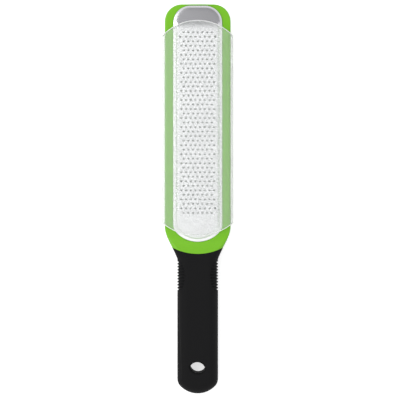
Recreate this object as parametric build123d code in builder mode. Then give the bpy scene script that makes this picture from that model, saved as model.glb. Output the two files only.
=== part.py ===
from build123d import *
from math import sqrt
import os

os.makedirs("parts", exist_ok=True)

# The zester lies on its back with its grating face up. X is across it, +Y points to the
# tip, and z = 0 is the table that its foot and its grip rest on. Sizes are millimetres.

# Driving dimensions
overall_length = 330.0
head_width = 55.8
head_length = 189.0
neck_length = 27.0
grip_width = 34.5
grip_thickness = 20.0

# Frame: a moulded rim with a flange all round, a skirt below it and a tang for the grip
foot_proud = 0.5
skirt_height = 9.0
skirt_wall = 2.0
flange_overhang = 4.2
flange_thickness = 3.0
head_corner_radius = 14.4
tip_crown = 0.5
flange_round = 1.2
plinth_width = 4.4
tip_land = 9.0
boundary_apex = 22.5
boundary_radius = 46.7
tang_width = 24.0
tang_thickness = 9.0
tang_lift = 4.5
tang_end_round = 8.0
tang_end_gap = 8.0
tang_eye_diameter = 19.0

# Neck stations from the head to the grip, as shares of the neck's own changes
neck_station_shares = (0, 0.34, 0.65, 0.83, 1)
neck_narrowing_shares = (0, 0.216, 0.6, 0.82, 1)
neck_rise_shares = (0, 0.06, 0.4, 0.74, 1)

# Grating plate: etched stainless sheet, its edge folded down into the frame
plate_width = 41.8
plate_overlap = 12.6
plate_thickness = 0.3
plate_tip_margin = 1.4
plate_corner_radius = 14.4
plate_bow_radius = 24.5
plate_bow_corner = 10.0
plate_rise = 1.9
plate_rim_width = 2.6
plate_rim_step = 1.2
plate_shoulder = 1.3
plate_shoulder_drop = 1.0
plate_flange_depth = 1.5
plate_fit = 0.05

# Etched openings, each with a raised cutting tooth on its tip side
row_pitch = 3.82
tooth_pitch = 3.96
narrow_row_tooth_count = 7
first_row_from_tip = 24.1
opening_width = 1.9
opening_length = 1.25
field_margin = 0.5
tooth_height = 0.5
tooth_heel = 0.5
tooth_overhang = 0.45
tooth_taper = 0.3
locating_hole_diameter = 1.8
locating_hole_offset = 14.8

# Grip: soft overmoulding with a patch of flexible fins on each side
grip_round = 9.0
grip_end_radius = 20.6
fin_count = 10
fin_pitch = 2.54
fin_gap = 1.3
fin_depth = 1.5
fin_reach = 6.5
first_fin_from_neck = 28.6
hang_hole_width = 12.9
hang_hole_height = 9.3
hang_hole_from_end = 22.5
hang_hole_tilt = -10.0
hang_hole_tip_round = 0.8
hang_hole_rim = 1.4

# Foot: a soft bar let into the underside of the tip
foot_length = 30.0
foot_width = 5.0
foot_rebate = 1.5
foot_fit = 0.05

# Cover: a clear channel that slides over the flange from the tip
cover_width = 60.0
cover_wall = 1.5
cover_crown = 1.2
cover_tooth_clearance = 0.9
cover_lip_clearance = 0.4
cover_lip_reach = 4.0
cover_lip_round = 0.3
cover_round = 4.5
cover_tip_setback = 14.0
cover_tip_radius = 41.0
cover_tip_corner = 5.0
cover_neck_overlap = 7.6
cover_neck_radius = 46.0
cover_neck_corner = 6.0

# One overrun serves every cut that has to pass right through
overrun = 5.0

# Places worked out from the sizes above
tip_y = overall_length / 2
end_y = -overall_length / 2
neck_y = tip_y - head_length
grip_y = neck_y - neck_length
eye_y = end_y + hang_hole_from_end
rim_z = foot_proud
flange_z = rim_z + skirt_height
land_z = flange_z + flange_thickness
plate_z = land_z + plate_rise
plate_tip_y = tip_y - plate_tip_margin
plate_end_y = neck_y - plate_overlap
field_end_y = plate_end_y + plate_width / 2
trough_inset = flange_overhang + skirt_wall
trough_tip_y = tip_y - flange_overhang - tip_land
foot_y = trough_tip_y + tip_land / 2


def head_plan(inset):
    """Plan of the head from its tip to the neck, drawn in by an inset."""
    half_width = head_width / 2 - inset
    tip = tip_y - inset
    with BuildSketch() as plan:
        with BuildLine():
            Polyline((-half_width, tip - tip_crown), (-half_width, neck_y), (half_width, neck_y),
                     (half_width, tip - tip_crown))
            ThreePointArc((half_width, tip - tip_crown), (0, tip), (-half_width, tip - tip_crown))
        make_face()
        fillet(plan.vertices().group_by(Axis.Y)[-1], head_corner_radius - inset)
    return plan.sketch


def spoon_plan(half_width, tip, corner_radius):
    """Plan with a rounded square tip and a bowed end, as the plate and the trough have."""
    inset = plate_width / 2 - half_width
    bow_radius = plate_bow_radius - inset
    apex_y = plate_end_y + inset
    side_y = apex_y + bow_radius - sqrt(bow_radius ** 2 - half_width ** 2)
    with BuildSketch() as plan:
        with BuildLine():
            Polyline((-half_width, side_y), (-half_width, tip), (half_width, tip),
                     (half_width, side_y))
            ThreePointArc((half_width, side_y), (0, apex_y), (-half_width, side_y))
        make_face()
        fillet(plan.vertices().group_by(Axis.Y)[-1], corner_radius)
        fillet(plan.vertices().group_by(Axis.Y)[0], plate_bow_corner - inset)
    return plan.sketch


def plate_form(inset, bottom_z, top_z):
    """Block with the plate's flat rim and its raised platform, drawn in by an inset."""
    with BuildPart() as form:
        for level_inset, level_z in ((inset, top_z - plate_rim_step),
                                     (inset + plate_rim_width, top_z)):
            with BuildSketch(Plane.XY.offset(bottom_z)):
                add(spoon_plan(plate_width / 2 - level_inset, plate_tip_y - level_inset,
                               plate_corner_radius - level_inset))
            extrude(amount=level_z - bottom_z)
        top = form.faces().sort_by(Axis.Z)[-1]
        chamfer(top.edges(), plate_shoulder, plate_shoulder_drop, reference=top)
    return form.part


def handle_form():
    """Outer form of the neck and the grip in one, before the boundary parts them."""
    with BuildPart() as form:
        for station, narrowing, rise in zip(neck_station_shares, neck_narrowing_shares,
                                            neck_rise_shares):
            width = head_width - narrowing * (head_width - grip_width)
            top = land_z + rise * (grip_thickness - land_z)
            bottom = rim_z * (1 - rise)
            corner = flange_round + rise * (grip_round - flange_round)
            section = Plane.XZ.offset(neck_length * station - neck_y)
            with BuildSketch(section):
                with Locations((0, (top + bottom) / 2)):
                    RectangleRounded(width, top - bottom, corner)
        loft()
        side_x = grip_width / 2
        side_y = end_y + grip_end_radius - sqrt(grip_end_radius ** 2 - side_x ** 2)
        with BuildSketch():
            with BuildLine():
                Polyline((-side_x, side_y), (-side_x, grip_y), (side_x, grip_y), (side_x, side_y))
                ThreePointArc((side_x, side_y), (0, end_y), (-side_x, side_y))
            make_face()
        barrel = extrude(amount=grip_thickness, mode=Mode.PRIVATE)
        free_edges = barrel.edges() - barrel.faces().sort_by(Axis.Y)[-1].edges()
        add(barrel.fillet(grip_round, free_edges))
    return form.part


def before_boundary():
    """Plan of everything on the head's side of the curved colour boundary."""
    bow_y = neck_y - boundary_apex + boundary_radius
    with BuildSketch() as plan:
        with Locations((0, bow_y)):
            Circle(boundary_radius)
            Rectangle(2 * boundary_radius, tip_y + overrun - bow_y,
                      align=(Align.CENTER, Align.MIN))
    return plan.sketch


def tang_plan():
    """Plan of the tang, with an eye round the hanging hole."""
    tang_tip = end_y + tang_end_gap
    with BuildSketch() as plan:
        with Locations((0, tang_tip)):
            Rectangle(tang_width, neck_y - boundary_apex / 2 - tang_tip,
                      align=(Align.CENTER, Align.MIN))
        fillet(plan.vertices().group_by(Axis.Y)[0], tang_end_round)
        with Locations((0, eye_y)):
            Circle(tang_eye_diameter / 2, mode=Mode.SUBTRACT)
    return plan.sketch


def tang_form():
    """Flat bar of the frame's own plastic that stiffens the grip."""
    with BuildPart() as form:
        with BuildSketch(Plane.XY.offset(tang_lift)):
            add(tang_plan())
        extrude(amount=tang_thickness)
    return form.part


handle_body = handle_form()
tang_body = tang_form()

# Head frame: one moulding in glossy plastic, with the neck and the tang
with BuildPart() as head_frame:
    with BuildSketch(Plane.XY.offset(flange_z)):
        add(head_plan(0))
    extrude(amount=flange_thickness)
    rim = head_frame.faces().sort_by(Axis.Z)[-1].edges()
    fillet(rim - head_frame.faces().sort_by(Axis.Y)[0].edges(), flange_round)
    with BuildSketch(Plane.XY.offset(rim_z)):
        add(head_plan(flange_overhang))
    extrude(amount=skirt_height)
    add(handle_body)
    with BuildSketch():
        add(before_boundary())
    extrude(amount=grip_thickness + overrun, mode=Mode.INTERSECT)
    add(tang_body)
    # Pocket that takes the plate and its folded edge, and the plinth that fills the plate
    pocket_z = land_z - plate_flange_depth - plate_fit
    with BuildSketch(Plane.XY.offset(pocket_z)):
        add(spoon_plan(plate_width / 2 + plate_fit, plate_tip_y + plate_fit,
                       plate_corner_radius + plate_fit))
    extrude(amount=grip_thickness, mode=Mode.SUBTRACT)
    add(plate_form(plate_thickness + plate_fit, pocket_z, plate_z - plate_thickness - plate_fit))
    # Trough that the zest falls into, and the window under the teeth
    with BuildSketch(Plane.XY.offset(flange_z)):
        add(spoon_plan(head_width / 2 - trough_inset, trough_tip_y,
                       head_corner_radius - trough_inset))
    extrude(amount=-(skirt_height + overrun), mode=Mode.SUBTRACT)
    with BuildSketch(Plane.XY.offset(rim_z)):
        window_inset = plate_thickness + plinth_width
        add(spoon_plan(plate_width / 2 - window_inset, trough_tip_y - plinth_width,
                       plate_corner_radius - window_inset))
    extrude(amount=plate_z, mode=Mode.SUBTRACT)
    # Rebate for the foot
    with BuildSketch(Plane.XY.offset(rim_z)):
        with Locations((0, foot_y)):
            SlotOverall(foot_length + 2 * foot_fit, foot_width + 2 * foot_fit)
    extrude(amount=foot_rebate, mode=Mode.SUBTRACT)

head_frame.part.label = "head_frame"
export_step(head_frame.part, "parts/head_frame.step")


def opening_plan():
    """Etched opening: a triangle with its flat side under the tooth's edge."""
    half_width = opening_width / 2
    with BuildSketch() as plan:
        with BuildLine():
            Polyline((-half_width, opening_length / 2), (half_width, opening_length / 2),
                     (0, -opening_length / 2), close=True)
        make_face()
    return plan.sketch


def tooth_form():
    """Cutting tooth: a sharp wedge on the tip side of its opening, leaning out over it."""
    root_y = opening_length / 2
    edge_y = root_y - tooth_overhang
    heel_y = root_y + tooth_heel
    half_root = opening_width / 2
    half_edge = half_root - tooth_taper
    half_heel = half_root + tooth_taper * tooth_heel / tooth_overhang
    with BuildPart() as form:
        with BuildSketch(Plane.YZ):
            with BuildLine():
                Polyline((heel_y, 0), (edge_y, tooth_height), (root_y, 0), close=True)
            make_face()
        extrude(amount=half_heel, both=True)
        with BuildSketch():
            with BuildLine():
                Polyline((-half_heel, heel_y), (-half_edge, edge_y), (half_edge, edge_y),
                         (half_heel, heel_y), close=True)
            make_face()
        extrude(amount=tooth_height, mode=Mode.INTERSECT)
    return form.part


def row_form(count, holes):
    """One row of the grating field: a strip of sheet with its openings and its teeth."""
    opening = opening_plan()
    tooth = tooth_form()
    places = [(place - (count - 1) / 2) * tooth_pitch for place in range(count)]
    places = [x for x in places if min([abs(x - hole) for hole in holes] + [tooth_pitch])
              > tooth_pitch / 2]
    with BuildPart() as strip:
        with BuildSketch():
            Rectangle(field_width, row_pitch)
            with Locations(*[(x, 0) for x in places]):
                add(opening, mode=Mode.SUBTRACT)
            for hole in holes:
                with Locations((hole, 0)):
                    Circle(locating_hole_diameter / 2, mode=Mode.SUBTRACT)
        extrude(amount=-plate_thickness)
        with Locations(*[(x, 0, 0) for x in places]):
            add(tooth)
    return strip.part


# Staggered rows: every second row holds one tooth more, and big round holes take the
# place of the outermost openings where the sheet was located for etching
field_width = plate_width - 2 * (plate_rim_width + plate_shoulder + field_margin)
narrow_row = row_form(narrow_row_tooth_count, [])
wide_row = row_form(narrow_row_tooth_count + 1, [])
first_row_y = tip_y - first_row_from_tip
row_count = int((first_row_y + row_pitch / 2 - field_end_y) / row_pitch)
special_rows = {
    1: row_form(narrow_row_tooth_count + 1, [-locating_hole_offset, locating_hole_offset]),
    row_count - 2: row_form(narrow_row_tooth_count + 1, [locating_hole_offset]),
}
rows = []
for row in range(row_count):
    plain_row = wide_row if row % 2 else narrow_row
    strip = special_rows.get(row, plain_row)
    rows.append(Pos(0, first_row_y - row * row_pitch, plate_z) * strip)

# Grating plate: thin sheet, folded down at its edge, with its field of openings and teeth
with BuildPart() as grating_plate:
    add(plate_form(0, land_z - plate_flange_depth, plate_z))
    add(plate_form(plate_thickness, land_z - plate_flange_depth - overrun,
                   plate_z - plate_thickness), mode=Mode.SUBTRACT)
    with BuildSketch(Plane.XY.offset(plate_z)):
        with Locations((0, first_row_y + row_pitch / 2)):
            Rectangle(field_width, row_count * row_pitch, align=(Align.CENTER, Align.MAX))
    extrude(amount=-2 * plate_thickness, mode=Mode.SUBTRACT)
    add(rows)

grating_plate.part.label = "grating_plate"
export_step(grating_plate.part, "parts/grating_plate.step")


def eye_plan():
    """Plan of the hanging hole: two bows that meet in rounded corners, slightly turned."""
    with BuildSketch() as plan:
        with BuildLine():
            ThreePointArc((-hang_hole_width / 2, 0), (0, hang_hole_height / 2),
                          (hang_hole_width / 2, 0))
            ThreePointArc((hang_hole_width / 2, 0), (0, -hang_hole_height / 2),
                          (-hang_hole_width / 2, 0))
        make_face()
        fillet(plan.vertices(), hang_hole_tip_round)
    return Pos(0, eye_y) * Rot(0, 0, hang_hole_tilt) * plan.sketch


# Section left standing between the fins: flats joined by bevels that keep the gap's depth
with BuildSketch() as fin_core:
    Rectangle(grip_width - 2 * fin_depth, grip_thickness - 2 * fin_depth)
    chamfer(fin_core.vertices(), (2 - sqrt(2)) * (grip_round - fin_depth))

# Grip: overmoulded soft plastic, closed round the tang
with BuildPart() as grip:
    add(handle_body)
    with BuildSketch():
        add(before_boundary())
    extrude(amount=grip_thickness + overrun, mode=Mode.SUBTRACT)
    add(tang_body, mode=Mode.SUBTRACT)
    # Gaps between the fins, deepest at the side and shorter towards both ends of the patch
    for gap in range(fin_count):
        along_share = (2 * gap + 1 - fin_count) / (fin_count + 1)
        reach = fin_reach * sqrt(1 - along_share * along_share)
        gap_y = neck_y - first_fin_from_neck - (gap + 0.5) * fin_pitch
        with BuildSketch(Plane.XZ.offset(-gap_y)):
            with Locations((0, grip_thickness / 2)):
                Rectangle(grip_width + overrun, grip_thickness + overrun)
                Rectangle(grip_width - 2 * reach, grip_thickness + overrun, mode=Mode.SUBTRACT)
                add(fin_core, mode=Mode.SUBTRACT)
        extrude(amount=fin_gap / 2, both=True, mode=Mode.SUBTRACT)
    # Hanging hole, an eye shape with softened rims
    with BuildSketch():
        add(eye_plan())
    extrude(amount=grip_thickness, mode=Mode.SUBTRACT)
    eye_edges = grip.edges(Select.LAST)
    chamfer(eye_edges.group_by(Axis.Z)[0] + eye_edges.group_by(Axis.Z)[-1], hang_hole_rim)

grip.part.label = "grip"
export_step(grip.part, "parts/grip.step")

# Foot: soft bar in its rebate under the tip
with BuildPart() as tip_foot:
    with BuildSketch():
        with Locations((0, foot_y)):
            SlotOverall(foot_length, foot_width)
    extrude(amount=rim_z + foot_rebate)
    chamfer(tip_foot.faces().sort_by(Axis.Z)[0].edges(), foot_proud / 2)

tip_foot.part.label = "tip_foot"
export_step(tip_foot.part, "parts/tip_foot.step")


def cover_section(inset):
    """Cross-section of the cover: a crowned top, round shoulders and a flat underside."""
    half_width = cover_width / 2 - inset
    ceiling = plate_z + tooth_height + cover_tooth_clearance + cover_wall - inset
    floor = flange_z - cover_lip_clearance - cover_wall + inset
    with BuildSketch() as section:
        with BuildLine():
            Polyline((-half_width, ceiling - cover_crown), (-half_width, floor),
                     (half_width, floor), (half_width, ceiling - cover_crown))
            ThreePointArc((half_width, ceiling - cover_crown), (0, ceiling),
                          (-half_width, ceiling - cover_crown))
        make_face()
        fillet(section.vertices().filter_by(lambda v: v.Y > flange_z), cover_round - inset)
        fillet(section.vertices().group_by(Axis.Y)[0], cover_lip_round + cover_wall - inset)
    return section.sketch


def cover_plan():
    """Plan of the cover, with an outward bow at both ends and rounded corners."""
    half_width = cover_width / 2
    tip_apex = tip_y - cover_tip_setback
    neck_apex = neck_y - cover_neck_overlap
    tip_side = tip_apex - cover_tip_radius + sqrt(cover_tip_radius ** 2 - half_width ** 2)
    neck_side = neck_apex + cover_neck_radius - sqrt(cover_neck_radius ** 2 - half_width ** 2)
    with BuildSketch() as plan:
        with BuildLine():
            Line((-half_width, neck_side), (-half_width, tip_side))
            ThreePointArc((-half_width, tip_side), (0, tip_apex), (half_width, tip_side))
            Line((half_width, tip_side), (half_width, neck_side))
            ThreePointArc((half_width, neck_side), (0, neck_apex), (-half_width, neck_side))
        make_face()
        fillet(plan.vertices().group_by(Axis.Y)[-1], cover_tip_corner)
        fillet(plan.vertices().group_by(Axis.Y)[0], cover_neck_corner)
    return plan.sketch


# Cover: one translucent moulding whose lips run under the flange
with BuildPart() as cover:
    with BuildSketch(Plane.XZ.offset(-tip_y)):
        add(cover_section(0))
        add(cover_section(cover_wall), mode=Mode.SUBTRACT)
        with Locations((0, flange_z)):
            Rectangle(cover_width - 2 * cover_lip_reach, flange_z,
                      align=(Align.CENTER, Align.MAX), mode=Mode.SUBTRACT)
    extrude(amount=head_length + neck_length)
    with BuildSketch():
        add(cover_plan())
    extrude(amount=grip_thickness, mode=Mode.INTERSECT)

cover.part.label = "cover"
export_step(cover.part, "parts/cover.step")
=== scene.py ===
# Rasp zester on its back: an etched steel grating plate in a glossy moulded frame, with a soft
# grip and a frosted cover that slides along the frame. Everything is in metres, in the CAD
# model's own frame: +Y runs to the tip, +Z out of the grating face, and z = 0 is the table.
import math

import bmesh
import bpy
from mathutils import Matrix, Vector
from mathutils.geometry import delaunay_2d_cdt


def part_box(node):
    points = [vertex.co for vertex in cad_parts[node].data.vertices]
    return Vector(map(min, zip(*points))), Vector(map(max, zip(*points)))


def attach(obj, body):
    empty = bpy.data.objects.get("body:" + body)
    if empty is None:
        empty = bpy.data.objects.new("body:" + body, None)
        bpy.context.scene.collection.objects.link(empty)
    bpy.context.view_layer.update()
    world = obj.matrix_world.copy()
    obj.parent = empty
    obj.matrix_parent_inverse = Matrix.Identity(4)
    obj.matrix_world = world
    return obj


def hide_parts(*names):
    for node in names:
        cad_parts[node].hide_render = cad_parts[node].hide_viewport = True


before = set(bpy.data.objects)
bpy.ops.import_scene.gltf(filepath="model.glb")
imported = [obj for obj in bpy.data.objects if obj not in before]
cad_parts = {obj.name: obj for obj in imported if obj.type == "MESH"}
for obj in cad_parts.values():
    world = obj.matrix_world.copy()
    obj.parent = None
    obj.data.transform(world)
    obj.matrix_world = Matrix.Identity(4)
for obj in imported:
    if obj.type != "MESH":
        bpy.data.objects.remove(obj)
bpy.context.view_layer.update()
mm = 0.001

# Head frame: one injection moulding in glossy ABS that carries everything else. A flange runs
# round the plate, a skirt stands below it, and the neck runs on as a tang inside the grip.
# The sheet is moulded into it, so nothing fastens it.
weld_gap = 0.002 * mm
flat_angle = math.radians(0.5)
smooth_angle = math.radians(28)
frame_edge_round = 0.22 * mm
edge_segments = 2
grain_detail = 2.0
ripple_size = 3.0 * mm
ripple_depth = 0.012 * mm


def new_piece(name, mesh):
    """An object at the origin for a mesh whose place is in its points."""
    piece = bpy.data.objects.new(name, mesh)
    bpy.context.collection.objects.link(piece)
    return piece


def mesh_of(skin, name):
    """A mesh of a finished bmesh, which is freed."""
    mesh = bpy.data.meshes.new(name)
    skin.to_mesh(mesh)
    skin.free()
    return mesh


def welded_copy(node, name):
    """A CAD node as one skin: its loose triangles are welded and its flats made whole."""
    skin = bmesh.new()
    skin.from_mesh(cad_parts[node].data)
    bmesh.ops.remove_doubles(skin, verts=skin.verts, dist=weld_gap)
    bmesh.ops.dissolve_limit(skin, angle_limit=flat_angle, verts=skin.verts, edges=skin.edges)
    return new_piece(name, mesh_of(skin, name))


def soften_edges(piece, width):
    """Rounds the sharp edges, and shades the flats flat and the curves smooth."""
    bevel = piece.modifiers.new("softened edges", "BEVEL")
    bevel.width = width
    bevel.segments = edge_segments
    bevel.limit_method = "ANGLE"
    bevel.angle_limit = smooth_angle
    bevel.use_clamp_overlap = False
    piece.data.shade_smooth()
    shading = piece.modifiers.new("even shading", "WEIGHTED_NORMAL")
    shading.keep_sharp = True


def linear(hex_colour):
    """The linear colour of an sRGB hex value, with full alpha."""
    shares = [int(hex_colour[place:place + 2], 16) / 255 for place in (1, 3, 5)]
    return [share / 12.92 if share <= 0.04045 else ((share + 0.055) / 1.055) ** 2.4
            for share in shares] + [1.0]


def add_node(tree, kind, settings):
    """Adds a node. Each setting is an attribute or an input, with a value or what feeds it."""
    node = tree.nodes.new(kind)
    for key, value in settings.items():
        if isinstance(key, str) and key in node.bl_rna.properties:
            setattr(node, key, value)
        elif isinstance(value, bpy.types.NodeSocket):
            tree.links.new(value, node.inputs[key])
        else:
            node.inputs[key].default_value = value
    return node


def new_material(name, settings):
    """A material of one Principled shader, with plain values on its sockets."""
    material = bpy.data.materials.new(name)
    material.use_nodes = True
    shader = material.node_tree.nodes["Principled BSDF"]
    for socket, value in settings.items():
        shader.inputs[socket].default_value = value
    return material, material.node_tree, shader


def add_grain(tree, shader, size, depth, stretch=(1, 1, 1)):
    """Surface grain from noise of a real size, pressed into the surface by a real depth."""
    place = add_node(tree, "ShaderNodeTexCoord", {})
    mapped = add_node(tree, "ShaderNodeMapping", {"Vector": place.outputs["Object"],
                                                  "Scale": stretch})
    grain = add_node(tree, "ShaderNodeTexNoise", {"Vector": mapped.outputs["Vector"],
                                                  "Scale": 1 / size, "Detail": grain_detail})
    bump = add_node(tree, "ShaderNodeBump", {"Height": grain.outputs["Fac"],
                                             "Distance": depth})
    tree.links.new(bump.outputs["Normal"], shader.inputs["Normal"])


# Green ABS from a polished mould: a clear gloss with the faint ripple of a moulded wall
green_abs, green_tree, green_shader = new_material("glossy green ABS", {
    "Base Color": linear("#76BF16"),
    "Roughness": 0.28,
    "IOR": 1.53,
    "Specular IOR Level": 0.35,
})
add_grain(green_tree, green_shader, ripple_size, ripple_depth)

head = welded_copy("head_frame", "head_frame_moulding")
head.data.materials.append(green_abs)
soften_edges(head, frame_edge_round)
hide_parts("head_frame")
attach(head, "root")

# Grating plate: thin stainless sheet, etched through and formed, with its edge folded down
# into the frame. The middle stands up as a low platform, and every opening in it has a sharp
# scoop raised on its tip side. Three plain round holes located the sheet for etching.
plate_low, plate_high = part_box("grating_plate")
sheet_thickness = 0.3 * mm
tooth_height = 0.5 * mm
sheet_z = plate_high.z - tooth_height
plate_corner_radius = 14.4 * mm
plate_bow_radius = 24.5 * mm
plate_bow_corner = 10.0 * mm
row_pitch = 3.82 * mm
tooth_pitch = 3.96 * mm
first_row_from_edge = 22.7 * mm
row_count = 41
widest_row = 8
hole_row_near_tip = 1
hole_row_near_neck = 39
locating_hole_radius = 0.9 * mm
locating_hole_shift = 0.94 * mm
arc_steps = 16
tip_fade = 8.0 * mm
fade_steps = 4
same_point = 1e-7
field_weld_gap = 10 * weld_gap


def arc(centre_x, centre_y, radius, first_turn, last_turn):
    """Points along an arc, with both of its ends."""
    turns = [first_turn + (last_turn - first_turn) * step / arc_steps
             for step in range(arc_steps + 1)]
    return [(centre_x + radius * math.cos(turn), centre_y + radius * math.sin(turn))
            for turn in turns]


def plate_outline(inset):
    """Closed outline of the plate drawn in by an inset, with as many points for any inset."""
    tip_x, tip_y = plate_high.x - plate_corner_radius, plate_high.y - plate_corner_radius
    tip_radius = plate_corner_radius - inset
    corner_x = plate_high.x - plate_bow_corner
    bow_y = plate_low.y + plate_bow_radius
    drop = math.sqrt((plate_bow_radius - plate_bow_corner) ** 2 - corner_x ** 2)
    corner_radius = plate_bow_corner - inset
    lean = math.atan2(drop, corner_x)
    points = arc(tip_x, tip_y, tip_radius, 0, math.pi / 2)
    points += arc(-tip_x, tip_y, tip_radius, math.pi / 2, math.pi)
    points += [(inset - plate_high.x, tip_y - step * tip_fade / fade_steps)
               for step in range(1, fade_steps + 1)]
    points += arc(-corner_x, bow_y - drop, corner_radius, math.pi, math.pi + lean)
    points += arc(0, bow_y, plate_bow_radius - inset, math.pi + lean, 2 * math.pi - lean)[1:-1]
    points += arc(corner_x, bow_y - drop, corner_radius, -lean, 0)
    points += [(plate_high.x - inset, tip_y - step * tip_fade / fade_steps)
               for step in range(fade_steps, 0, -1)]
    return points


def fill_between(outer, inner):
    """Flat faces between two closed outlines, as places in the two lists together."""
    points = [Vector(point[:2]) for point in list(outer) + list(inner)]
    loops = [list(range(len(outer))), list(range(len(outer), len(points)))]
    inside_only, inner_loop = 1, 1
    *_, faces, _, _, loops_round = delaunay_2d_cdt(points, [], loops, inside_only, same_point)
    return [face for face, round_it in zip(faces, loops_round) if inner_loop not in round_it]


def bridge(skin, ring, next_ring):
    """Joins two closed rings of as many points with a band of faces."""
    for place in range(len(ring)):
        after = (place + 1) % len(ring)
        skin.faces.new((ring[place], ring[after], next_ring[after], next_ring[place]))


def new_mesh(name, points, faces):
    """A mesh from points and faces."""
    mesh = bpy.data.meshes.new(name)
    mesh.from_pydata(points, [], faces)
    return mesh


# One cell of the field. Its border has a point halfway along each side, so that staggered
# rows meet point to point. Mouth, heel, crest and lip are shares of the opening's half width,
# its reach and the scoop's height.
half_cell_x, half_cell_y = tooth_pitch / 2, row_pitch / 2
cell_border = [(x * half_cell_x, y * half_cell_y, 0) for x, y in
               ((-1, -1), (0, -1), (1, -1), (1, 0), (1, 1), (0, 1), (-1, 1), (-1, 0))]
opening_half_width = 0.95 * mm
opening_reach = 0.75 * mm
scoop_reach = 1.25 * mm
mouth_shares = ((-1, 0.6), (-0.96, 0), (-0.66, -0.72), (0, -1), (0.66, -0.72), (0.96, 0),
                (1, 0.6))
heel_shares = ((-1.08, 0.66), (-0.58, 0.93), (0, 1), (0.58, 0.93), (1.08, 0.66))
crest_shares = ((-0.55, 0.58, 0.62), (0, 0.6, 0.86), (0.55, 0.58, 0.62))
lip_shares = ((-0.55, 0.34, 0.78), (0, 0.26, 1), (0.55, 0.34, 0.78))
tooth_points = cell_border + [(x * opening_half_width, y * opening_reach, 0)
                              for x, y in mouth_shares]
tooth_points += [(x * opening_half_width, y * scoop_reach, 0) for x, y in heel_shares]
tooth_points += [(x * opening_half_width, y * scoop_reach, z * tooth_height)
                 for x, y, z in crest_shares + lip_shares]
sheet_faces = [(0, 1, 11, 10), (1, 2, 12, 11), (2, 3, 13, 12), (3, 14, 13), (3, 4, 19, 14),
               (4, 18, 19), (4, 5, 17, 18), (5, 6, 16, 17), (6, 15, 16), (6, 7, 8, 15),
               (7, 9, 8), (7, 0, 10, 9)]
scoop_faces = [(15, 8, 23, 20), (15, 20, 16), (20, 21, 17, 16), (21, 22, 18, 17), (22, 19, 18),
               (22, 25, 14, 19), (20, 23, 24, 21), (21, 24, 25, 22)]
tooth_cell = new_piece("tooth cell", new_mesh("tooth cell", tooth_points,
                                              sheet_faces + scoop_faces))
hole_ring = [(locating_hole_shift + locating_hole_radius * math.cos(turn),
              locating_hole_radius * math.sin(turn))
             for turn in (2 * math.pi * side / arc_steps for side in range(arc_steps))]
hole_cell = new_piece("locating hole cell", new_mesh(
    "locating hole cell", cell_border + [(x, y, 0) for x, y in hole_ring],
    fill_between(cell_border, hole_ring)))

# Stainless sheet: the acid leaves the field dull, so it takes light from the whole sky, and the
# masked tip keeps a smoother satin from the rolls; the two fade into each other. The base
# colour
# is painted light: near white over the field for the glow that the frosted cover throws on the
# metal under it, and a darker grey at the tip for painted shade.
field_colour_painted_glow = linear("#F3F3F5")
tip_colour_painted_shade = linear("#D4D4D8")
etched_roughness = 0.5
rolled_roughness = 0.22
finish_and_shade_fade_start = plate_high.y - 22.0 * mm
finish_and_shade_fade_end = plate_high.y - 14.5 * mm
steel_grain_size = 0.6 * mm
steel_grain_depth = 0.0015 * mm
steel_grain_stretch = (1, 0.25, 1)
steel, steel_tree, steel_shader = new_material("stainless steel, painted cover glow and tip shade", {"Metallic": 1.0})
add_grain(steel_tree, steel_shader, steel_grain_size, steel_grain_depth, steel_grain_stretch)
steel_place = add_node(steel_tree, "ShaderNodeTexCoord", {})
along = add_node(steel_tree, "ShaderNodeSeparateXYZ", {"Vector": steel_place.outputs["Object"]})
tip_finish_and_shade_share = add_node(steel_tree, "ShaderNodeMapRange", {
    "interpolation_type": "SMOOTHSTEP", "Value": along.outputs["Y"],
    "From Min": finish_and_shade_fade_start, "From Max": finish_and_shade_fade_end})
# The sockets of a mix of colours go by number, because those of other mixes share their names
mix_share, mix_first, mix_second, mix_result = 0, 6, 7, 2
# The colour fades from the field's painted glow to the tip's painted shade
steel_painted_light_colour = add_node(steel_tree, "ShaderNodeMix", {
    "data_type": "RGBA", mix_share: tip_finish_and_shade_share.outputs[0], mix_first: field_colour_painted_glow,
    mix_second: tip_colour_painted_shade})
steel_tree.links.new(steel_painted_light_colour.outputs[mix_result], steel_shader.inputs["Base Color"])
steel_dullness = add_node(steel_tree, "ShaderNodeMapRange", {
    "Value": tip_finish_and_shade_share.outputs[0], "To Min": etched_roughness, "To Max": rolled_roughness})
steel_tree.links.new(steel_dullness.outputs[0], steel_shader.inputs["Roughness"])

# The field of staggered rows, made by Geometry Nodes
field_tree = bpy.data.node_groups.new("etched field", "GeometryNodeTree")
field_values = {
    "Rows": ("NodeSocketInt", row_count),
    "Widest Row": ("NodeSocketInt", widest_row),
    "Row Pitch": ("NodeSocketFloat", row_pitch),
    "Tooth Pitch": ("NodeSocketFloat", tooth_pitch),
    "First Row": ("NodeSocketFloat", plate_high.y - first_row_from_edge),
    "Sheet Height": ("NodeSocketFloat", sheet_z),
    "Hole Row Near Tip": ("NodeSocketInt", hole_row_near_tip),
    "Hole Row Near Neck": ("NodeSocketInt", hole_row_near_neck),
    "Weld Gap": ("NodeSocketFloat", field_weld_gap),
    "Tooth Cell": ("NodeSocketObject", tooth_cell),
    "Hole Cell": ("NodeSocketObject", hole_cell),
    "Material": ("NodeSocketMaterial", steel),
}
field_sockets = {
    name: field_tree.interface.new_socket(name=name, in_out="INPUT", socket_type=kind)
    for name, (kind, _) in field_values.items()}
field_tree.interface.new_socket(name="Field", in_out="OUTPUT", socket_type="NodeSocketGeometry")
given = field_tree.nodes.new("NodeGroupInput").outputs


def reckon(operation, first, second=0.0):
    """One step of arithmetic in the field's tree."""
    step = field_tree.nodes.new("ShaderNodeMath")
    step.operation = operation
    for socket, value in zip(step.inputs, (first, second)):
        if isinstance(value, bpy.types.NodeSocket):
            field_tree.links.new(value, socket)
        else:
            socket.default_value = value
    return step.outputs[0]


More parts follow.
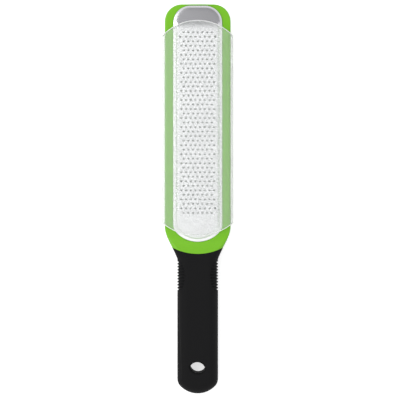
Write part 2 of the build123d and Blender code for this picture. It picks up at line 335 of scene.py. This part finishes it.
index = field_tree.nodes.new("GeometryNodeInputIndex").outputs[0]
row = reckon("FLOOR", reckon("DIVIDE", index, given["Widest Row"]))
column = reckon("MODULO", index, given["Widest Row"])
narrow = reckon("SUBTRACT", 1.0, reckon("MODULO", row, 2.0))
last_column = reckon("SUBTRACT", given["Widest Row"], 1.0)
row_middle = reckon("DIVIDE", reckon("SUBTRACT", last_column, narrow), 2.0)
across = reckon("SUBTRACT", column, row_middle)
place = add_node(field_tree, "ShaderNodeCombineXYZ", {
    "X": reckon("MULTIPLY", across, given["Tooth Pitch"]),
    "Y": reckon("SUBTRACT", given["First Row"], reckon("MULTIPLY", row, given["Row Pitch"])),
    "Z": given["Sheet Height"]})
places = add_node(field_tree, "GeometryNodePoints", {
    "Count": reckon("MULTIPLY", given["Rows"], given["Widest Row"]),
    "Position": place.outputs[0]})
# Narrow rows leave their last place empty. Outermost places of two rows have locating holes.
empty = reckon("MULTIPLY", narrow, reckon("COMPARE", column, last_column))
outermost = reckon("GREATER_THAN", reckon("ABSOLUTE", across),
                   reckon("SUBTRACT", reckon("DIVIDE", last_column, 2.0), 0.5))
on_right = reckon("GREATER_THAN", across, 0.0)
near_neck = reckon("MULTIPLY", on_right, reckon("COMPARE", row, given["Hole Row Near Neck"]))
near_tip = reckon("COMPARE", row, given["Hole Row Near Tip"])
holed = reckon("MULTIPLY", outermost, reckon("MAXIMUM", near_tip, near_neck))
hole_turn = add_node(field_tree, "ShaderNodeCombineXYZ", {
    "Z": reckon("MULTIPLY", reckon("SUBTRACT", 1.0, on_right), math.pi)})
joined = field_tree.nodes.new("GeometryNodeJoinGeometry")
toothed = reckon("SUBTRACT", 1.0, reckon("MAXIMUM", empty, holed))
for cell_name, chosen, turn in (("Tooth Cell", toothed, (0, 0, 0)),
                                ("Hole Cell", holed, hole_turn.outputs[0])):
    cell = add_node(field_tree, "GeometryNodeObjectInfo", {"Object": given[cell_name],
                                                           "As Instance": True})
    laid = add_node(field_tree, "GeometryNodeInstanceOnPoints", {
        "Points": places.outputs[0], "Selection": chosen,
        "Instance": cell.outputs["Geometry"], "Rotation": turn})
    field_tree.links.new(laid.outputs[0], joined.inputs[0])
realized = add_node(field_tree, "GeometryNodeRealizeInstances", {"Geometry": joined.outputs[0]})
welded = add_node(field_tree, "GeometryNodeMergeByDistance", {"Geometry": realized.outputs[0],
                                                              "Distance": given["Weld Gap"]})
faced = add_node(field_tree, "GeometryNodeSetMaterial", {"Geometry": welded.outputs[0],
                                                         "Material": given["Material"]})
field_tree.links.new(faced.outputs[0], field_tree.nodes.new("NodeGroupOutput").inputs["Field"])

field_maker = new_piece("field maker", bpy.data.meshes.new("field maker"))
field_modifier = field_maker.modifiers.new("etched field", "NODES")
field_modifier.node_group = field_tree
for name, (_, value) in field_values.items():
    field_modifier[field_sockets[name].identifier] = value
ready = bpy.context.evaluated_depsgraph_get()
field_mesh = bpy.data.meshes.new_from_object(field_maker.evaluated_get(ready))
for maker in (field_maker, tooth_cell, hole_cell):
    bpy.data.objects.remove(maker)

# The sheet round the field in section, in millimetres: how far in from its edge, and how far
# below the platform along the sides and at the tip. Along the sides a slope falls to a flat rim
# that lies on the frame. At the tip the platform runs out to the fold.
shoulder_section = ((4.6, 0, 0), (4.2, 0.02, 0), (3.9, 0.08, 0.01), (3.6, 0.22, 0.01),
                    (3.3, 0.45, 0.02), (2.9, 0.78, 0.03), (2.65, 0.99, 0.04), (2.5, 1.11, 0.05),
                    (2.3, 1.18, 0.06), (2.0, 1.2, 0.08), (0.6, 1.2, 0.2), (0.3, 1.25, 0.38),
                    (0.1, 1.42, 0.75), (0, 1.7, 1.7))
platform_inset = shoulder_section[0][0] * mm
fade_low_y = plate_high.y - plate_corner_radius - tip_fade

sheet = bmesh.new()
sheet.from_mesh(field_mesh)
edge_loop = [edge for edge in sheet.edges if edge.is_boundary]
start = max((vert for edge in edge_loop for vert in edge.verts), key=lambda v: v.co.x + v.co.y)
field_edge, edge = [start], next(e for e in start.link_edges if e.is_boundary)
while True:
    vert = edge.other_vert(field_edge[-1])
    if vert is start:
        break
    field_edge.append(vert)
    edge = next(e for e in vert.link_edges if e.is_boundary and e is not edge)
if sum(a.co.x * b.co.y - b.co.x * a.co.y for a, b in zip(field_edge, field_edge[1:])) < 0:
    field_edge.reverse()
rings = []
for inset, side_drop, tip_drop in shoulder_section:
    ring = []
    for x, y in plate_outline(inset * mm):
        share = min(max((y - fade_low_y) / tip_fade, 0), 1)
        share = share * share * (3 - 2 * share)
        drop = side_drop + (tip_drop - side_drop) * share
        ring.append(sheet.verts.new((x, y, sheet_z - drop * mm)))
    rings.append(ring)
rings.append([sheet.verts.new((x, y, plate_low.z)) for x, y in plate_outline(0)])
rim = rings[0]
corners = rim + field_edge
for face in fill_between([vert.co for vert in rim], [vert.co for vert in field_edge]):
    sheet.faces.new([corners[place] for place in face])
for ring, next_ring in zip(rings, rings[1:]):
    bridge(sheet, next_ring, ring)
bmesh.ops.recalc_face_normals(sheet, faces=sheet.faces)
if sum(face.normal.z * face.calc_area() for face in sheet.faces) < 0:
    bmesh.ops.reverse_faces(sheet, faces=sheet.faces)
field_mesh.materials.clear()
field_mesh.materials.append(steel)
sheet.to_mesh(field_mesh)
sheet.free()

plate_skin = new_piece("plate skin", field_mesh)
wall = plate_skin.modifiers.new("sheet thickness", "SOLIDIFY")
wall.thickness = sheet_thickness
wall.offset = -1
wall.use_even_offset = True
ready = bpy.context.evaluated_depsgraph_get()
sheet_mesh = bpy.data.meshes.new_from_object(plate_skin.evaluated_get(ready))
plate = new_piece("grating_sheet", sheet_mesh)
bpy.data.objects.remove(plate_skin)
plate.data.shade_smooth()
plate.data.set_sharp_from_angle(angle=smooth_angle)
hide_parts("grating_plate")
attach(plate, "root")

# Grip: thermoplastic elastomer moulded over the tang, matt and slightly soft, with fins that
# flex under the thumb on each side and a hanging hole through its end.
grip_edge_round = 0.3 * mm
tpe_grain_size = 0.35 * mm
tpe_grain_depth = 0.02 * mm
black_tpe, tpe_tree, tpe_shader = new_material("matt black elastomer", {
    "Base Color": linear("#141415"),
    "Roughness": 0.72,
    "IOR": 1.5,
    "Specular IOR Level": 0.12,
})
add_grain(tpe_tree, tpe_shader, tpe_grain_size, tpe_grain_depth)

grip = welded_copy("grip", "soft_grip_moulding")
grip.data.materials.append(black_tpe)
soften_edges(grip, grip_edge_round)
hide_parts("grip")
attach(grip, "root")

# Fin webs: the fins stand on a band of the same elastomer on each side of the grip, moulded
# with it, which leaves the gaps between them shallow.
web_high_y = -49.0 * mm
web_low_y = -78.0 * mm
web_depth = 0.95 * mm
web_root_depth = 2.2 * mm
grip_corner_round = 9.0 * mm
web_half_turn = math.radians(80)
web_steps = 24
grip_low, grip_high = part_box("grip")
grip_half_width = 17.25 * mm
grip_middle_z = (grip_low.z + grip_high.z) / 2
flat_half_height = grip_middle_z - grip_low.z - grip_corner_round


def web_line(depth):
    """Half of the grip's rounded side in section, drawn in by a depth."""
    line = []
    for step in range(web_steps + 1):
        turn = web_half_turn * (2 * step / web_steps - 1)
        rise = math.copysign(flat_half_height, turn) if turn else 0
        line.append((grip_half_width - grip_corner_round
                     + (grip_corner_round - depth) * math.cos(turn),
                     grip_middle_z + rise + (grip_corner_round - depth) * math.sin(turn)))
    return line


webs = bmesh.new()
web_section = web_line(web_depth) + web_line(web_root_depth)[::-1]
for side in (-1, 1):
    ends = [[webs.verts.new((side * x, y, z)) for x, z in web_section]
            for y in (web_low_y, web_high_y)]
    bridge(webs, *ends)
    for place in range(web_steps):
        for end in ends:
            webs.faces.new((end[place], end[place + 1], end[-place - 2], end[-place - 1]))
bmesh.ops.recalc_face_normals(webs, faces=webs.faces)
web_mesh = mesh_of(webs, "fin_webs")
web_mesh.materials.append(black_tpe)
web_mesh.shade_smooth()
web_mesh.set_sharp_from_angle(angle=smooth_angle)
fin_webs = new_piece("fin_webs", web_mesh)
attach(fin_webs, "root")

# Foot: a bar of the same elastomer, pressed into a slot under the tip so that it won't slip.
foot_edge_round = 0.15 * mm
foot = welded_copy("tip_foot", "non_slip_foot")
foot.data.materials.append(black_tpe)
soften_edges(foot, foot_edge_round)
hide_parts("tip_foot")
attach(foot, "root")

# Cover: one moulding in frosted polypropylene. Its crowned top clears the teeth and its lips
# run under the flange on both sides. Both ends bow outwards, with rounded corners.
cover_low, cover_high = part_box("cover")
cover_wall = 1.5 * mm
cover_crown = 1.2 * mm
cover_round = 4.5 * mm
cover_lip_round = 1.8 * mm
cover_lip_reach = 4.0 * mm
cover_tip_radius = 41.0 * mm
cover_tip_corner = 5.0 * mm
cover_neck_radius = 46.0 * mm
cover_neck_corner = 6.0 * mm
cover_edge_round = 0.6 * mm
crown_steps = 24
round_steps = 8
length_steps = 12


def end_reach(x, radius, corner):
    """How far a bowed end falls back from its apex at x, along the bow and round its corner."""
    x = abs(x)
    corner_x = cover_high.x - corner
    corner_drop = radius - math.sqrt((radius - corner) ** 2 - corner_x ** 2)
    if x < corner_x * radius / (radius - corner):
        return radius - math.sqrt(radius ** 2 - x ** 2)
    return corner_drop - math.sqrt(corner ** 2 - (x - corner_x) ** 2)


def cover_profile():
    """Half of the cover's middle surface in section, from the crown's top to the lip's end."""
    side_x = cover_high.x - cover_wall / 2
    top_z = cover_high.z - cover_wall / 2
    crown_radius = (cover_high.x ** 2 + cover_crown ** 2) / (2 * cover_crown) - cover_wall / 2
    crown_z = top_z - crown_radius
    shoulder = cover_round - cover_wall / 2
    shoulder_x = side_x - shoulder
    shoulder_z = crown_z + math.sqrt((crown_radius - shoulder) ** 2 - shoulder_x ** 2)
    shoulder_start = math.atan2(shoulder_z - crown_z, shoulder_x)
    bend = cover_lip_round - cover_wall / 2
    lip_z = cover_low.z + cover_wall / 2
    points = []
    for step in range(crown_steps):
        turn = math.pi / 2 + (shoulder_start - math.pi / 2) * step / crown_steps
        points.append((crown_radius * math.cos(turn), crown_z + crown_radius * math.sin(turn)))
    for step in range(round_steps + 1):
        turn = shoulder_start * (1 - step / round_steps)
        points.append((shoulder_x + shoulder * math.cos(turn),
                       shoulder_z + shoulder * math.sin(turn)))
    for step in range(round_steps + 1):
        turn = -math.pi / 2 * step / round_steps
        points.append((side_x - bend + bend * math.cos(turn),
                       lip_z + bend + bend * math.sin(turn)))
    points.append((cover_high.x - cover_lip_reach, lip_z))
    return points


half_profile = cover_profile()
whole_profile = [(-x, z) for x, z in reversed(half_profile[1:])] + half_profile
shell = bmesh.new()
columns = []
for x, z in whole_profile:
    tip_y = cover_high.y - end_reach(x, cover_tip_radius, cover_tip_corner)
    neck_y = cover_low.y + end_reach(x, cover_neck_radius, cover_neck_corner)
    columns.append([shell.verts.new((x, neck_y + (tip_y - neck_y) * step / length_steps, z))
                    for step in range(length_steps + 1)])
for column, next_column in zip(columns, columns[1:]):
    for step in range(length_steps):
        shell.faces.new((column[step], next_column[step], next_column[step + 1],
                         column[step + 1]))

# Frosted polypropylene: a thin milky wall with a satin skin. It veils what lies under it a
# little, and hides more where it is seen along its depth, at the rounded sides and the edges.
# The edges' whiter colour is a painted highlight, for the light that a moulded edge catches.
frosted_colour = linear("#E8EBE8")
painted_highlight_edge_colour = linear("#F6F8F6")
frosted_skin = {
    "Roughness": 0.38,
    "IOR": 1.49,
    "Subsurface Weight": 0.8,
    "Subsurface Radius": (0.01, 0.01, 0.01),
}
frosted_grain_size = 0.4 * mm
frosted_grain_depth = 0.01 * mm
straight_on_until = 0.1
veil_straight_on = 0.15
veil_along = 0.6
veil_of_edges = 0.95
frosted, frosted_tree, frosted_shader = new_material(
    "frosted polypropylene", {"Base Color": frosted_colour, **frosted_skin})
frosted_highlight_edge, highlight_edge_tree, highlight_edge_shader = new_material(
    "frosted polypropylene, edge with painted highlight",
    {"Base Color": painted_highlight_edge_colour, **frosted_skin, "Alpha": veil_of_edges})
for tree, shader in ((frosted_tree, frosted_shader), (highlight_edge_tree, highlight_edge_shader)):
    add_grain(tree, shader, frosted_grain_size, frosted_grain_depth)
slant = add_node(frosted_tree, "ShaderNodeLayerWeight", {"Blend": 0.5})
milkiness = add_node(frosted_tree, "ShaderNodeMapRange", {
    "Value": slant.outputs["Facing"], "From Min": straight_on_until, "From Max": 1.0,
    "To Min": veil_straight_on, "To Max": veil_along})
frosted_tree.links.new(milkiness.outputs[0], frosted_shader.inputs["Alpha"])

cover = new_piece("sliding_cover", mesh_of(shell, "cover"))
# The rims and rounded edges take the edge material, whose whiter colour is a painted highlight
highlight_edge_slot = 1
cover.data.materials.append(frosted)
cover.data.materials.append(frosted_highlight_edge)
wall = cover.modifiers.new("wall", "SOLIDIFY")
wall.thickness = cover_wall
wall.offset = 0
wall.material_offset_rim = highlight_edge_slot
soften_edges(cover, cover_edge_round)
cover.modifiers["softened edges"].material = highlight_edge_slot
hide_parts("cover")
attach(cover, "cover")

# Studio: a pale table under soft light from every side, brighter from the upper left, and a
# long lens straight above. The table looks white to the camera, but keeps the soft shadow.
photo_size = 400
photo_scale = 0.846 * mm
photo_centre_x = 197.7
photo_centre_y = 198.8
camera_height = 1.2
camera_reach = 100.0
table_size = 12.0
table_colour = "#DCDCDC"
table_boost = 0.66
trough_half_width = 21.0 * mm
boost_fade = 6.0 * mm

camera = bpy.data.cameras.new("camera above")
camera.lens = camera.sensor_width * camera_height / (photo_size * photo_scale)
camera.clip_end = camera_reach
camera_object = new_piece("camera above", camera)
camera_object.location = ((photo_size / 2 - photo_centre_x) * photo_scale,
                          (photo_centre_y - photo_size / 2) * photo_scale,
                          camera_height + sheet_z)
bpy.context.scene.camera = camera_object

half_table = table_size / 2
table = new_piece("table", new_mesh("table", [
    (-half_table, -half_table, 0), (half_table, -half_table, 0),
    (half_table, half_table, 0), (-half_table, half_table, 0)], [(0, 1, 2, 3)]))


def shown_rays(tree):
    """1 for the rays that show a background: straight, mirrored or through the clear parts."""
    rays = tree.nodes.new("ShaderNodeLightPath").outputs
    mirrored = add_node(tree, "ShaderNodeMath", {"operation": "ADD", 0: rays["Is Camera Ray"],
                                                 1: rays["Is Glossy Ray"]})
    return add_node(tree, "ShaderNodeMath", {
        "operation": "ADD", 0: mirrored.outputs[0], 1: rays["Is Transmission Ray"],
        "use_clamp": True})


table_paint = bpy.data.materials.new("white table")
table_paint.use_nodes = True
tree = table_paint.node_tree
tree.nodes.clear()
# The boost leaves out the ground inside the trough, which is as dark as light leaves it
ground = add_node(tree, "ShaderNodeTexCoord", {})
trough_low_y, trough_high_y = plate_low.y + platform_inset, plate_high.y - platform_inset
offset = add_node(tree, "ShaderNodeVectorMath", {
    "operation": "SUBTRACT", 0: ground.outputs["Object"],
    1: (0, (trough_low_y + trough_high_y) / 2, 0)})
size = add_node(tree, "ShaderNodeVectorMath", {"operation": "ABSOLUTE", 0: offset.outputs[0]})
outside = add_node(tree, "ShaderNodeVectorMath", {
    "operation": "SUBTRACT", 0: size.outputs[0],
    1: (trough_half_width, (trough_high_y - trough_low_y) / 2, 0)})
beyond = add_node(tree, "ShaderNodeVectorMath", {"operation": "MAXIMUM", 0: outside.outputs[0],
                                                 1: (0, 0, 0)})
distance = add_node(tree, "ShaderNodeVectorMath", {"operation": "LENGTH", 0: beyond.outputs[0]})
fade = add_node(tree, "ShaderNodeMapRange", {
    "interpolation_type": "SMOOTHSTEP", "Value": distance.outputs["Value"], "From Min": 0.0,
    "From Max": boost_fade, "To Min": 0.0, "To Max": table_boost})
strength = add_node(tree, "ShaderNodeMath", {
    "operation": "MULTIPLY", 0: shown_rays(tree).outputs[0], 1: fade.outputs[0]})
glow = add_node(tree, "ShaderNodeEmission", {"Strength": strength.outputs[0]})
paint = add_node(tree, "ShaderNodeBsdfDiffuse", {"Color": linear(table_colour)})
both = add_node(tree, "ShaderNodeAddShader", {0: glow.outputs[0], 1: paint.outputs[0]})
add_node(tree, "ShaderNodeOutputMaterial", {"Surface": both.outputs[0]})
table.data.materials.append(table_paint)

# The sky lights the object: soft and wide overhead, weaker towards the horizon and brighter on
# the left. The rays that show a background see a plain white backdrop instead. Its dim gap, for
# the camera and its stand above the tip, is what greys the bare metal there.
sky_horizon = 0.3
sky_overhead = 1.02
sky_overhead_from = 0.8
sky_left = 0.35
gap_direction = Vector((0.02, 0.2, 1.0)).normalized()
gap_share = 0.15
gap_outer_angle = math.radians(13)
gap_inner_angle = math.radians(4)
world = bpy.data.worlds.new("studio")
world.use_nodes = True
bpy.context.scene.world = world
tree = world.node_tree
tree.nodes.clear()
direction = add_node(tree, "ShaderNodeTexCoord", {})
up = add_node(tree, "ShaderNodeSeparateXYZ", {"Vector": direction.outputs["Generated"]})
overhead = add_node(tree, "ShaderNodeMapRange", {
    "interpolation_type": "SMOOTHSTEP", "Value": up.outputs["Z"], "From Min": 0.0,
    "From Max": sky_overhead_from, "To Min": sky_horizon, "To Max": sky_overhead})
leftward = add_node(tree, "ShaderNodeMath", {"operation": "MULTIPLY_ADD", 0: up.outputs["X"],
                                             1: -sky_left, 2: overhead.outputs[0]})
nearness = add_node(tree, "ShaderNodeVectorMath", {
    "operation": "DOT_PRODUCT", 0: direction.outputs["Generated"], 1: gap_direction})
gap = add_node(tree, "ShaderNodeMapRange", {
    "interpolation_type": "SMOOTHSTEP", "Value": nearness.outputs["Value"],
    "From Min": math.cos(gap_outer_angle), "From Max": math.cos(gap_inner_angle),
    "To Min": 1.0, "To Max": gap_share})
sky = add_node(tree, "ShaderNodeBackground", {"Strength": leftward.outputs[0]})
backdrop = add_node(tree, "ShaderNodeBackground", {"Strength": gap.outputs[0]})
for background in (sky, backdrop):
    background.inputs["Color"].default_value = (1, 1, 1, 1)
shown = add_node(tree, "ShaderNodeMixShader", {
    0: shown_rays(tree).outputs[0], 1: sky.outputs[0], 2: backdrop.outputs[0]})
add_node(tree, "ShaderNodeOutputWorld", {"Surface": shown.outputs[0]})

key_size = 0.5
key_power = 3.0
key_place = Vector((-0.5, 0.25, 1.15))
key = bpy.data.lights.new("key softbox", "AREA")
key.shape = "SQUARE"
key.size = key_size
key.energy = key_power
key_object = new_piece("key softbox", key)
key_object.location = key_place
key_object.rotation_euler = (-key_place).to_track_quat("-Z", "Y").to_euler()
key_object.visible_camera = False

scene = bpy.context.scene
scene.view_settings.view_transform = "Standard"
